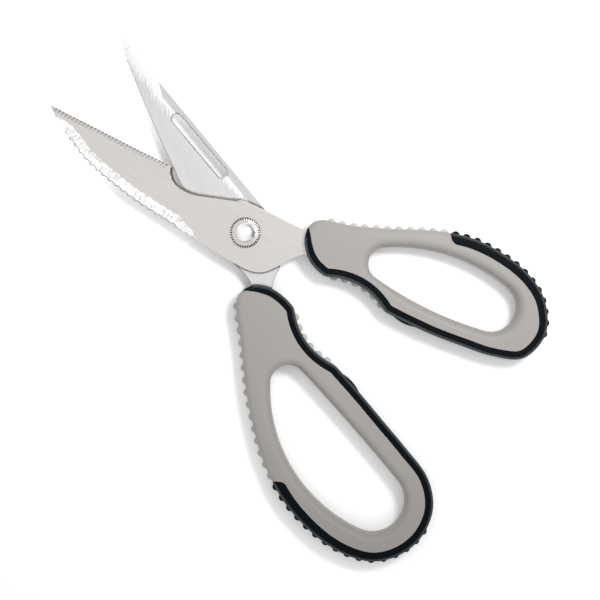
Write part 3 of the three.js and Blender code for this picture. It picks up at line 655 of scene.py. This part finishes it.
def steel(name, low, high, roughness, sizes, height, turn=0.0, finish=None, white=None, painted_gap_shade=0.0,
          metallic=0.85):
    """Brushed steel; finish changes the tone, white is its brightest colour, and a power above 0 paints
    shade into gaps.
    """
    material, tree, shader = new_material(name, {"Metallic": metallic, "Roughness": roughness})
    tone = grain(tree, shader, sizes, height, turn)
    if finish:
        tone = finish(tree, tone)
    # Painted shade where another surface comes close
    if painted_gap_shade:
        near = tree.calc("POWER", tree.open_air(GAP_SHADE_REACH), painted_gap_shade)
        tone = tree.calc("MULTIPLY", tone, near)
    dark = [DARK_SHARE * value for value in low]
    stops = [(0.0, dark), (DARK_END, low), (LOW_TONE, low), (HIGH_TONE, high)]
    if white:
        stops.append((WHITE_TONE, white))
    colour(tree, shader, tone, stops)
    return material


def marked(tree, tone, bright, shaded, loss):
    """Tone raised on bright areas and lowered on shaded ones, each 0 to 1: polish with painted reflection
    and highlight, and painted shade and the rear strip's plain tone.
    """
    tone = tree.calc("MULTIPLY_ADD", bright, POLISH_AND_HIGHLIGHT_GAIN, tone)
    return tree.calc("MULTIPLY", tone, tree.calc("MULTIPLY_ADD", shaded, -loss, 1))


def beside_line(tree, start, turn):
    """Millimetres along and inside the straight line from a point of a blade to its tip, and its length."""
    start = Vector((*start, 0))
    run = Vector((BLADE_REACH, 0, 0)) - start
    origin = Matrix.Rotation(turn, 4, "Z") @ start * MM
    along, inside, _ = tree.axes(tree.scaled((1, 1, 1), math.atan2(run.y, run.x) + turn, origin))
    return along, inside, run.length


def outside_tick_shade(tree):
    """1 everywhere but in the slots of the front cutting edge, where it is less: painted shade in the slots.
    """
    calc = tree.calc
    along, inside, length = beside_line(tree, (NOTCH_START, -EDGE_DROP), HALF_OPENING)
    slant = math.radians(TICK_SLANT)
    straight = calc("MULTIPLY_ADD", inside, -math.tan(slant), along)
    steps = calc("MULTIPLY_ADD", straight, 1 / TICK_PITCH, 0.5 - TICK_MARGIN / TICK_PITCH)
    offset = calc("ABSOLUTE", calc("SUBTRACT", calc("FRACT", steps), 0.5))
    in_width = calc("LESS_THAN", offset, TICK_WIDTH / (2 * math.cos(slant) * TICK_PITCH))
    middle = (TICK_SHADE_START + TICK_SHADE_END) / 2
    from_middle = calc("ABSOLUTE", calc("SUBTRACT", inside, middle))
    in_length = calc("LESS_THAN", from_middle, (TICK_SHADE_END - TICK_SHADE_START) / 2)
    half_row = (math.floor((length - 2 * TICK_MARGIN) / TICK_PITCH) + 1) / 2
    in_row = calc("LESS_THAN", calc("ABSOLUTE", calc("SUBTRACT", steps, half_row)), half_row)
    ticks = calc("MULTIPLY", calc("MULTIPLY", in_width, in_length), in_row)
    return calc("MULTIPLY_ADD", ticks, TICK_SHADE_TONE - 1, 1)


def front_finish(tree, tone):
    """Painted shade in the ticks, ground streaks with painted reflection and a rim of painted shade on the
    scaler's bevel, and painted shade on the lip of notch and heel.
    """
    calc = tree.calc
    tone = calc("MULTIPLY", tone, outside_tick_shade(tree))
    # The bevel's streaks are ground marks with painted reflection; its rim and the lip get painted shade
    noise = tree.noise(BEVEL_GRAIN, HALF_OPENING + math.radians(BEVEL_GRAIN_TURN), BEVEL_DETAIL)
    patch = tree.clamp(calc("MULTIPLY_ADD", noise, BEVEL_CONTRAST, BEVEL_BIAS))
    surface = tree.nodes.new("ShaderNodeNewGeometry")
    _, _, upright = tree.axes(surface.outputs["True Normal"])
    along, _, height = tree.axes(tree.place())
    bevel = tree.sloped(upright, BEVEL_SLOPES)
    rim = calc("MULTIPLY", bevel, calc("LESS_THAN", height, RIM_SHADE_HEIGHT * MM))
    past_corner = tree.rise(along, LIP_SHADE_START, LIP_SHADE_END)
    lip = calc("MULTIPLY", tree.sloped(upright, LIP_SLOPES), past_corner)
    return marked(tree, tone, calc("MULTIPLY", bevel, patch), calc("MAXIMUM", rim, lip), RIM_SHADE)


def rear_finish(tree, tone):
    """Streaky polished zone with painted reflection along the spine, the plain strip beside it, and a thin
    dark outline of painted shade.
    """
    calc = tree.calc
    along, inside, _ = beside_line(tree, (SPINE_STRAIGHT_START, -SPINE_DROP), -HALF_OPENING)
    # Polish with painted reflection: a streaky zone beside the spine is whiter
    border = calc("MULTIPLY_ADD", tone, POLISH_AND_REFLECTION_WANDER, POLISH_AND_REFLECTION_WIDTH - POLISH_AND_REFLECTION_WANDER / 2)
    land_end = SPINE_LAND_END + SPINE_LAND - SPINE_STRAIGHT_START
    taper = calc("MULTIPLY_ADD", along, -SPINE_LAND_TAPER, SPINE_LAND_TAPER * land_end)
    strip = calc("LESS_THAN", inside, calc("MINIMUM", taper, SPINE_STRIP))
    zone = calc("MULTIPLY", tree.clamp(calc("SUBTRACT", border, inside)), calc("SUBTRACT", 1, strip))
    tone = marked(tree, tone, zone, strip, 1)
    # Painted shade: a thin dark line along the blade's edges
    off_edge = calc("POWER", tree.open_air(EDGE_SHADE_REACH, inside=True), EDGE_SHADE_POWER)
    tone = calc("MULTIPLY", tone, calc("MAXIMUM", off_edge, zone))
    return calc("MULTIPLY_ADD", strip, STRIP_TONE, tone)


def washer_finish(tree, tone):
    """Painted highlight on the crests of the washer's teeth, and painted shade in the grooves between them.
    """
    calc = tree.calc
    x, y, height = tree.axes(tree.place())
    outside = calc("GREATER_THAN", tree.axis_square(x, y), (WASHER_FLAT * MM) ** 2)
    crest = calc("GREATER_THAN", height, (WASHER_TOP - CREST_DEPTH) * MM)
    groove = calc("MULTIPLY", outside, calc("SUBTRACT", 1, crest))
    return marked(tree, tone, calc("MULTIPLY", outside, crest), groove, GROOVE_SHADE)


grey_plastic = plastic("grey_plastic", (0.425, 0.406, 0.387), (0.454, 0.434, 0.414))
# Painted light: the nubs are of the handle's grey plastic, painted paler for the light that falls on them
nub_plastic_painted_light = plastic("nub_plastic_painted_light", (0.64, 0.625, 0.61), (0.68, 0.665, 0.65))
# The band's third colour is a painted sheen on its ledges and side
soft_band = rubber("soft_band", (0.0015, 0.0035, 0.006), (0.003, 0.0055, 0.0085), (0.075, 0.089, 0.093))
nub_rubber = rubber("nub_rubber", (0.004, 0.006, 0.008), (0.007, 0.009, 0.011))
black_rubber = rubber("black_rubber", (0.0012, 0.0016, 0.002), (0.002, 0.0025, 0.003))
# Painted shade in the ticks, on the scaler's rim and on the lip; painted reflection in the bevel's white
# streaks
front_steel = steel("front_steel", (0.648, 0.618, 0.598), (0.702, 0.672, 0.652), roughness=0.2,
                    sizes=(14, 0.4, 0.4), height=0.0008, turn=HALF_OPENING, finish=front_finish, white=WHITE)
# Painted reflection in the polished zone; painted shade along the edges and in gaps
rear_steel = steel("rear_steel", (0.74, 0.73, 0.72), (0.78, 0.77, 0.76), roughness=0.17,
                   sizes=(5, 0.45, 0.45), height=0.003, turn=STREAK_TURN, finish=rear_finish, white=WHITE,
                   painted_gap_shade=5, metallic=0.75)
# Painted shade in the gaps round the dome
polished_steel = steel("polished_steel", (0.86, 0.86, 0.86), (0.9, 0.9, 0.9), roughness=0.3,
                       sizes=(2, 2, 2), height=0.001, painted_gap_shade=1)
# Painted highlight on the teeth's crests, painted shade in their grooves and in gaps
washer_steel = steel("washer_steel", (0.61, 0.59, 0.57), (0.65, 0.63, 0.61), roughness=0.2,
                     sizes=(1, 1, 1), height=0.002, finish=washer_finish, white=(0.78, 0.77, 0.76),
                     painted_gap_shade=0.6)


# Blades and bolt, kept as solids

def smooth_group(name, angle):
    """Node group that shades smooth over every edge that bends less than the angle."""
    group = bpy.data.node_groups.new(name, "GeometryNodeTree")
    group.interface.new_socket("Geometry", in_out="INPUT", socket_type="NodeSocketGeometry")
    group.interface.new_socket("Geometry", in_out="OUTPUT", socket_type="NodeSocketGeometry")
    start = group.nodes.new("NodeGroupInput")
    end = group.nodes.new("NodeGroupOutput")
    faces = group.nodes.new("GeometryNodeSetShadeSmooth")
    faces.domain = "FACE"
    edges = group.nodes.new("GeometryNodeSetShadeSmooth")
    edges.domain = "EDGE"
    edges.inputs["Shade Smooth"].default_value = False
    bend = group.nodes.new("GeometryNodeInputMeshEdgeAngle")
    sharp = group.nodes.new("FunctionNodeCompare")
    sharp.operation = "GREATER_THAN"
    sharp.inputs[1].default_value = math.radians(angle)
    group.links.new(start.outputs[0], faces.inputs["Geometry"])
    group.links.new(faces.outputs["Geometry"], edges.inputs["Geometry"])
    group.links.new(bend.outputs["Unsigned Angle"], sharp.inputs[0])
    group.links.new(sharp.outputs["Result"], edges.inputs["Selection"])
    group.links.new(edges.outputs["Geometry"], end.inputs[0])
    return group


def dress(node, material, angle):
    piece = nodes[node]
    piece.data.materials.clear()
    piece.data.materials.append(material)
    piece.modifiers.new("smooth", "NODES").node_group = smooth_group(f"{node}_smooth", angle)


dress("front_blade", front_steel, FRONT_SMOOTH)
dress("rear_blade", rear_steel, REAR_SMOOTH)
dress("pivot_bolt", polished_steel, BOLT_SMOOTH)


# Pivot

def pivot_dome():
    roof = WASHER_TOP + NUT_HOLLOW
    top = WASHER_TOP + NUT_SKIRT
    profile = [
        (NUT_HOLLOW_CENTRE, roof),
        (WASHER_BORE, roof),
        (WASHER_BORE, WASHER_TOP),
        (NUT_RADIUS - NUT_CHAMFER, WASHER_TOP),
        (NUT_RADIUS, WASHER_TOP + NUT_CHAMFER),
    ]
    for angle in np.linspace(0, math.pi / 2, NUT_DOME_STEPS)[:-1]:
        profile.append((NUT_RADIUS * math.cos(angle), top + NUT_DOME_RISE * math.sin(angle)))
    _, points = circle(NUT_SEGMENTS)
    bm = capped([np.c_[points * radius, np.full(NUT_SEGMENTS, height)] * MM for radius, height in profile])
    add_object("pivot_dome", bm, polished_steel, "finger_half", ["pivot_nut"])


def pivot_teeth():
    angles, points = circle(TOOTH_STEPS * WASHER_TEETH)
    groove = 0.5 - 0.5 * np.cos(angles * WASHER_TEETH)
    rings = []
    for radius, height, notch, cut in WASHER_ROWS:
        rings.append(np.c_[points * (radius - notch * groove)[:, None], height - cut * groove] * MM)
    bm = bmesh.new()
    add_rings(bm, rings, close=True)
    add_object("pivot_teeth", bm, washer_steel, "finger_half", ["toothed_washer"])


pivot_dome()
pivot_teeth()


# Handles

def top_profile(depth, radius=EDGE_ROUND):
    """Height lost at a depth inside the outline, where the slab's edge is rounded."""
    inside = np.clip(radius - depth, 0, radius)
    return radius - np.sqrt(radius ** 2 - inside ** 2)


class Handle:
    """One loop; its hole is walked so that the hole's inward normal points to its middle."""

    def __init__(self, loop):
        self.loop = loop
        self.points, self.total = outline_of(loop)
        self.run = np.arange(len(self.points)) * self.total / len(self.points)
        self.normals = inward_normals(self.points, NORMAL_BLUR / SPACING)
        self.hole = hole_of(loop)
        self.hole_normals = inward_normals(self.hole, HOLE_NORMAL_BLUR / SPACING)
        # The band ends midway between the last grey nub and the first dark one
        self.band_end = self.total - loop["nub_start"] - (loop["grey_nubs"] - 0.5) * loop["nub_pitch"]
        self.band_now = self.band_depth(self.run)
        self.shell_start = np.where(self.band_now > 0, self.band_now + FIT_GAP, 0)
        gaps = np.linalg.norm(self.inset(self.shell_start)[:, None] - self.hole[None], axis=2)
        self.edge_room, self.hole_room = gaps.min(axis=1), gaps.min(axis=0)

    def band_depth(self, run):
        """Depth of the soft band from the outline at a distance along it."""
        share = np.clip(2 * run / self.band_end - 1, 0, 1)
        width = BAND_WIDTH + (BAND_END_WIDTH - BAND_WIDTH) * share
        start = 1 - np.exp(-run / BAND_START_GROWTH)
        left = np.clip((self.band_end - run) / BAND_END_ROUND, 0, 1)
        end = np.sqrt(1 - (1 - left) ** 2)
        return np.where(run < self.band_end, width * start * end, 0)

    def inset(self, depth):
        return self.points + self.normals * depth[:, None]

    def read(self, values, distances):
        """Values held at the outline's points, read at distances along it."""
        run = np.r_[self.run, self.total]
        return np.stack([np.interp(distances, run, np.r_[values[:, k], values[0, k]]) for k in (0, 1)], -1)

    def run_at(self, point):
        """Distance along the outline of its point nearest to another point."""
        return self.run[np.argmin(np.linalg.norm(self.points - np.array(point, float), axis=1))]

    def edge_rings(self, face, down):
        """Rings of a shell's outer edge, from its face to its seam."""
        start = self.shell_start
        groove = np.where(self.band_now > GROOVED_BAND, SEAM_GROOVE, 0)
        bare = 1 - np.clip(self.band_now / BARE_BAND, 0, 1)
        edge_round = EDGE_ROUND + (BARE_EDGE_ROUND - EDGE_ROUND) * bare
        reach = EDGE_REACH + (BARE_EDGE_REACH - EDGE_REACH) * bare
        reach = np.minimum(reach, EDGE_MOST_SHARE * self.edge_room)
        rings = []
        for share in EDGE_STEPS:
            depth = start + reach * share
            drop = top_profile(depth, edge_round) + groove * max(0, 1 - share / GROOVE_SHARE)
            rings.append(placed(self.loop, self.inset(depth), face + down * drop))
        rings.append(placed(self.loop, self.inset(start), SEAM_HEIGHT - down * SEAM_GROOVE))
        rings.append(placed(self.loop, self.inset(start + SEAM_GROOVE), SEAM_HEIGHT))
        return rings

    def hole_rings(self, face, down):
        """Rings of a shell's hole, from its face to its seam."""
        away = -self.hole_normals
        hole_round = np.minimum(HOLE_ROUND, HOLE_ROUND_SHARE * self.hole_room)[:, None]
        hole_round = blur(hole_round, HOLE_ROUND_BLUR / SPACING)
        flat = hole_round + HOLE_FLAT_SHARE * self.hole_room[:, None]
        rings = [placed(self.loop, self.hole + away * flat, face)]
        for angle in np.linspace(0, math.pi / 2, HOLE_ROUND_STEPS):
            back = hole_round * (1 - math.sin(angle))
            drop = HOLE_ROUND_HEIGHT * (1 - math.cos(angle))
            rings.append(placed(self.loop, self.hole + away * back, face + down * drop))
        rings.append(placed(self.loop, self.hole, SEAM_HEIGHT - down * SEAM_GROOVE))
        rings.append(placed(self.loop, self.hole + away * SEAM_GROOVE, SEAM_HEIGHT))
        return rings

    def shell(self, name, face, down, replaces):
        """Grey shell from an outer face, where its edges are rounded, to the seam."""
        bm = bmesh.new()
        outer = add_rings(bm, self.edge_rings(face, down))
        inner = add_rings(bm, self.hole_rings(face, down))
        for a, b in ((outer[0], inner[0]), (outer[-1], inner[-1])):
            bmesh.ops.triangle_fill(bm, use_beauty=True, edges=ring_edges(bm, a) + ring_edges(bm, b))
        add_object(name, bm, grey_plastic, self.loop["body"], replaces)

    def band(self):
        """Soft band: a flat face stripe, a step down and a rounded ledge, the same below."""
        loop = self.loop
        count = int(self.band_end / SPACING)
        stations = np.linspace(BAND_END_MARGIN, self.band_end - BAND_END_MARGIN, count)
        places = self.read(self.points, stations)
        normals = self.read(self.normals, stations)
        width = self.band_depth(stations)
        step_at = np.minimum(width * LEDGE_MOST_SHARE, LEDGE_WIDTH)
        step = LEDGE_DROP * np.clip(width / BAND_WIDTH, 0, 1)
        section = []
        for share in STRIPE_SHARES:
            depth = step_at + (width - step_at) * share
            section.append((depth, top_profile(depth) + (STRIPE_EDGE_DROP if share == 1 else 0)))
        section += [(step_at * share, step * drop) for share, drop in STEP_ROWS]
        for share in LEDGE_SHARES:
            depth = step_at * share
            section.append((depth, np.maximum(top_profile(depth), step)))
        rows = [(depth, HANDLE_THICKNESS - drop) for depth, drop in section]
        rows += [(np.zeros_like(width), height) for height in SIDE_HEIGHTS]
        rows += reversed(section)
        sheets = [placed(loop, places + normals * depth[:, None], height) for depth, height in rows]
        add_object(f"{loop['name']}_band", capped(np.stack(sheets, 1)), soft_band, loop["body"],
                   [f"{loop['name']}_grip_band"])

    def nubs(self, name, distances, material):
        bm = bmesh.new()
        for distance in distances:
            point = self.read(self.points, distance)
            normal = self.read(self.normals, distance)
            seat = point + normal / np.linalg.norm(normal) * NUB_INSET
            centre = placed(self.loop, seat[None], MID_HEIGHT)[0]
            bmesh.ops.create_uvsphere(bm, u_segments=NUB_SEGMENTS, v_segments=NUB_RINGS,
                                      radius=NUB_RADIUS * MM, matrix=Matrix.Translation(Vector(centre)))
        add_object(name, bm, material, self.loop["body"])

    def stop(self):
        """Oval bumper on the inner edge, thickest in its middle."""
        loop = self.loop
        inner = np.where((self.run > NOSE_RUN) & (self.run < self.total / 2))[0]
        index = inner[np.argmin(np.abs(self.points[inner, 0] - loop["stop_place"]))]
        point, normal = self.points[index], self.normals[index]
        heading = np.array([normal[1], -normal[0]])
        rows = [(rise, height - STOP_HEIGHT / 2) for rise, height in STOP_ROWS]
        rows += [(rise, -offset) for rise, offset in reversed(rows)]
        spots = np.linspace(-1, 1, STOP_STATIONS)
        middles = point + heading * (spots * STOP_LENGTH / 2)[:, None]
        bulge = 1 - spots ** 2
        oval = (1 - np.abs(spots) ** STOP_OVAL_POWER) ** (1 / STOP_OVAL_POWER)
        sheets = []
        for rise, offset in rows:
            out = rise * (STOP_PROUD if rise >= 0 else STOP_SEAT) * bulge
            sheets.append(placed(loop, middles - normal * out[:, None], MID_HEIGHT + offset * oval))
        bm = capped(np.stack(sheets, 1))
        bmesh.ops.remove_doubles(bm, verts=bm.verts, dist=MERGE_REACH * MM)
        add_object(f"{loop['name']}_bumper", bm, black_rubber, loop["body"],
                   [f"{loop['name']}_stop"])

    def build(self):
        loop = self.loop
        name = loop["name"]
        self.shell(f"{name}_upper_shell", HANDLE_THICKNESS, -1, [f"{name}_handle_body"])
        self.shell(f"{name}_lower_shell", 0.0, 1, [f"{name}_handle_cover"])
        self.band()
        first = self.total - loop["nub_start"]
        edge = [first - i * loop["nub_pitch"] for i in range(loop["grey_nubs"] + loop["dark_nubs"])]
        self.nubs(f"{name}_edge_nubs", edge[:loop["grey_nubs"]], nub_plastic_painted_light)
        self.nubs(f"{name}_band_nubs", edge[loop["grey_nubs"]:], nub_rubber)
        rest_from = self.run_at(loop["nose"][-1]) + REST_MARGIN
        rest_to = self.run_at(loop["rest_end"]) - REST_MARGIN
        count = int((rest_to - rest_from - 2 * NUB_RADIUS) / REST_NUB_PITCH) + 1
        middle = (rest_from + rest_to) / 2
        rest = [middle + (i - (count - 1) / 2) * REST_NUB_PITCH for i in range(count)]
        self.nubs(f"{name}_rest_nubs", rest, nub_plastic_painted_light)
        self.stop()


for handle_loop in (THUMB, FINGER):
    Handle(handle_loop).build()


# Floor, light and camera

def image_direction(right, up, height):
    return (RIGHT * right + UP * up + Vector((0, 0, height))).normalized()


def floor():
    """White floor whose own light only the camera and reflections see; it is weaker close to the shears,
    which paints their shadow there.
    """
    mesh = bpy.data.meshes.new("floor")
    signs = [(-1, -1), (1, -1), (1, 1), (-1, 1)]
    corners = [(x * FLOOR_HALF, y * FLOOR_HALF, -FLOOR_DROP * MM) for x, y in signs]
    mesh.from_pydata(corners, [], [(0, 1, 2, 3)])
    material, tree, shader = new_material("white_floor", {
        "Base Color": (FLOOR_TONE, FLOOR_TONE, FLOOR_TONE, 1),
        "Roughness": FLOOR_ROUGHNESS,
        "Specular IOR Level": 0,
        "Emission Color": (*WHITE, 1),
    })
    calc = tree.calc
    x, y, _ = tree.axes(tree.place())
    blades = tree.rise(x, BLADE_SHADE_START, BLADE_SHADE_END)
    power = calc("MULTIPLY_ADD", blades, BLADE_SHADE_POWER - 1, 1)
    # Painted shadow: the floor's own light falls off close to the shears
    near = calc("POWER", tree.open_air(FLOOR_SHADOW_REACH), power)
    glow = calc("MULTIPLY_ADD", near, FLOOR_GLOW, FLOOR_LEAST_GLOW)
    # Painted light under the blades' tips hides their shadow there
    glow = calc("MULTIPLY_ADD", tree.rise(x, TIP_GLOW_START, TIP_GLOW_END), TIP_GLOW, glow)
    from_pivot = calc("SQRT", tree.axis_square(x, y))
    glow = calc("MULTIPLY_ADD", tree.rise(from_pivot, FAR_GLOW_START, FAR_GLOW_END), FAR_GLOW, glow)
    path = tree.nodes.new("ShaderNodeLightPath")
    seen = calc("MAXIMUM", path.outputs["Is Camera Ray"], path.outputs["Is Glossy Ray"])
    tree.links.new(calc("MULTIPLY", seen, glow), shader.inputs["Emission Strength"])
    mesh.materials.append(material)
    piece = bpy.data.objects.new("floor", mesh)
    bpy.context.scene.collection.objects.link(piece)


def world():
    """Even sky for diffuse light, and a studio with darker and lighter sides for reflections."""
    scene_world = bpy.data.worlds.new("studio")
    bpy.context.scene.world = scene_world
    tree = Tree(scene_world)
    direction = tree.nodes.new("ShaderNodeTexCoord").outputs["Generated"]
    sky = tree.nodes["Background"]
    sky.inputs["Strength"].default_value = SKY_STRENGTH
    _, _, height = tree.axes(direction)
    tree.links.new(tree.ramp(height, [(0.0, WHITE), (SKY_TOP_HEIGHT, [SKY_TOP] * 3)]), sky.inputs["Color"])
    studio = tree.nodes.new("ShaderNodeBackground")
    studio.inputs["Strength"].default_value = STUDIO_STRENGTH
    tilt = tree.nodes.new("ShaderNodeVectorMath")
    tilt.operation = "DOT_PRODUCT"
    tilt.inputs[1].default_value = image_direction(*STUDIO_DIRECTION)
    tree.links.new(direction, tilt.inputs[0])
    share = tree.calc("MULTIPLY_ADD", tilt.outputs["Value"], 0.5, 0.5)
    stops = [(position, [tone] * 3) for position, tone in STUDIO_TONES]
    tree.links.new(tree.ramp(share, stops), studio.inputs["Color"])
    path = tree.nodes.new("ShaderNodeLightPath")
    mix = tree.nodes.new("ShaderNodeMixShader")
    tree.links.new(path.outputs["Is Glossy Ray"], mix.inputs["Fac"])
    tree.links.new(sky.outputs["Background"], mix.inputs[1])
    tree.links.new(studio.outputs["Background"], mix.inputs[2])
    tree.links.new(mix.outputs["Shader"], tree.nodes["World Output"].inputs["Surface"])


def key_light():
    data = bpy.data.lights.new("key", "SPOT")
    data.shadow_soft_size = KEY_RADIUS
    data.spot_size = math.radians(KEY_CONE)
    data.spot_blend = 1
    data.energy = KEY_WATTS
    lamp = bpy.data.objects.new("key", data)
    lamp.location = CENTRE + image_direction(*KEY_DIRECTION) * KEY_DISTANCE
    target = CENTRE + (RIGHT * KEY_AIM[0] + UP * KEY_AIM[1]) * MM
    lamp.rotation_euler = (lamp.location - target).to_track_quat("Z", "Y").to_euler()
    bpy.context.scene.collection.objects.link(lamp)


def camera():
    data = bpy.data.cameras.new("camera")
    data.sensor_width = SENSOR
    data.lens = SENSOR * CAMERA_DISTANCE / (PHOTO_SIZE / PIXELS_PER_MM * MM)
    data.clip_start = 0.01
    lens = bpy.data.objects.new("camera", data)
    back = Vector((0, 0, 1))
    rotation = Matrix((RIGHT, UP, back)).transposed().to_4x4()
    lens.matrix_world = Matrix.Translation(CENTRE + back * (FOCUS_HEIGHT + CAMERA_DISTANCE)) @ rotation
    bpy.context.scene.collection.objects.link(lens)
    bpy.context.scene.camera = lens


floor()
world()
key_light()
camera()
bpy.context.scene.view_settings.view_transform = "Standard"
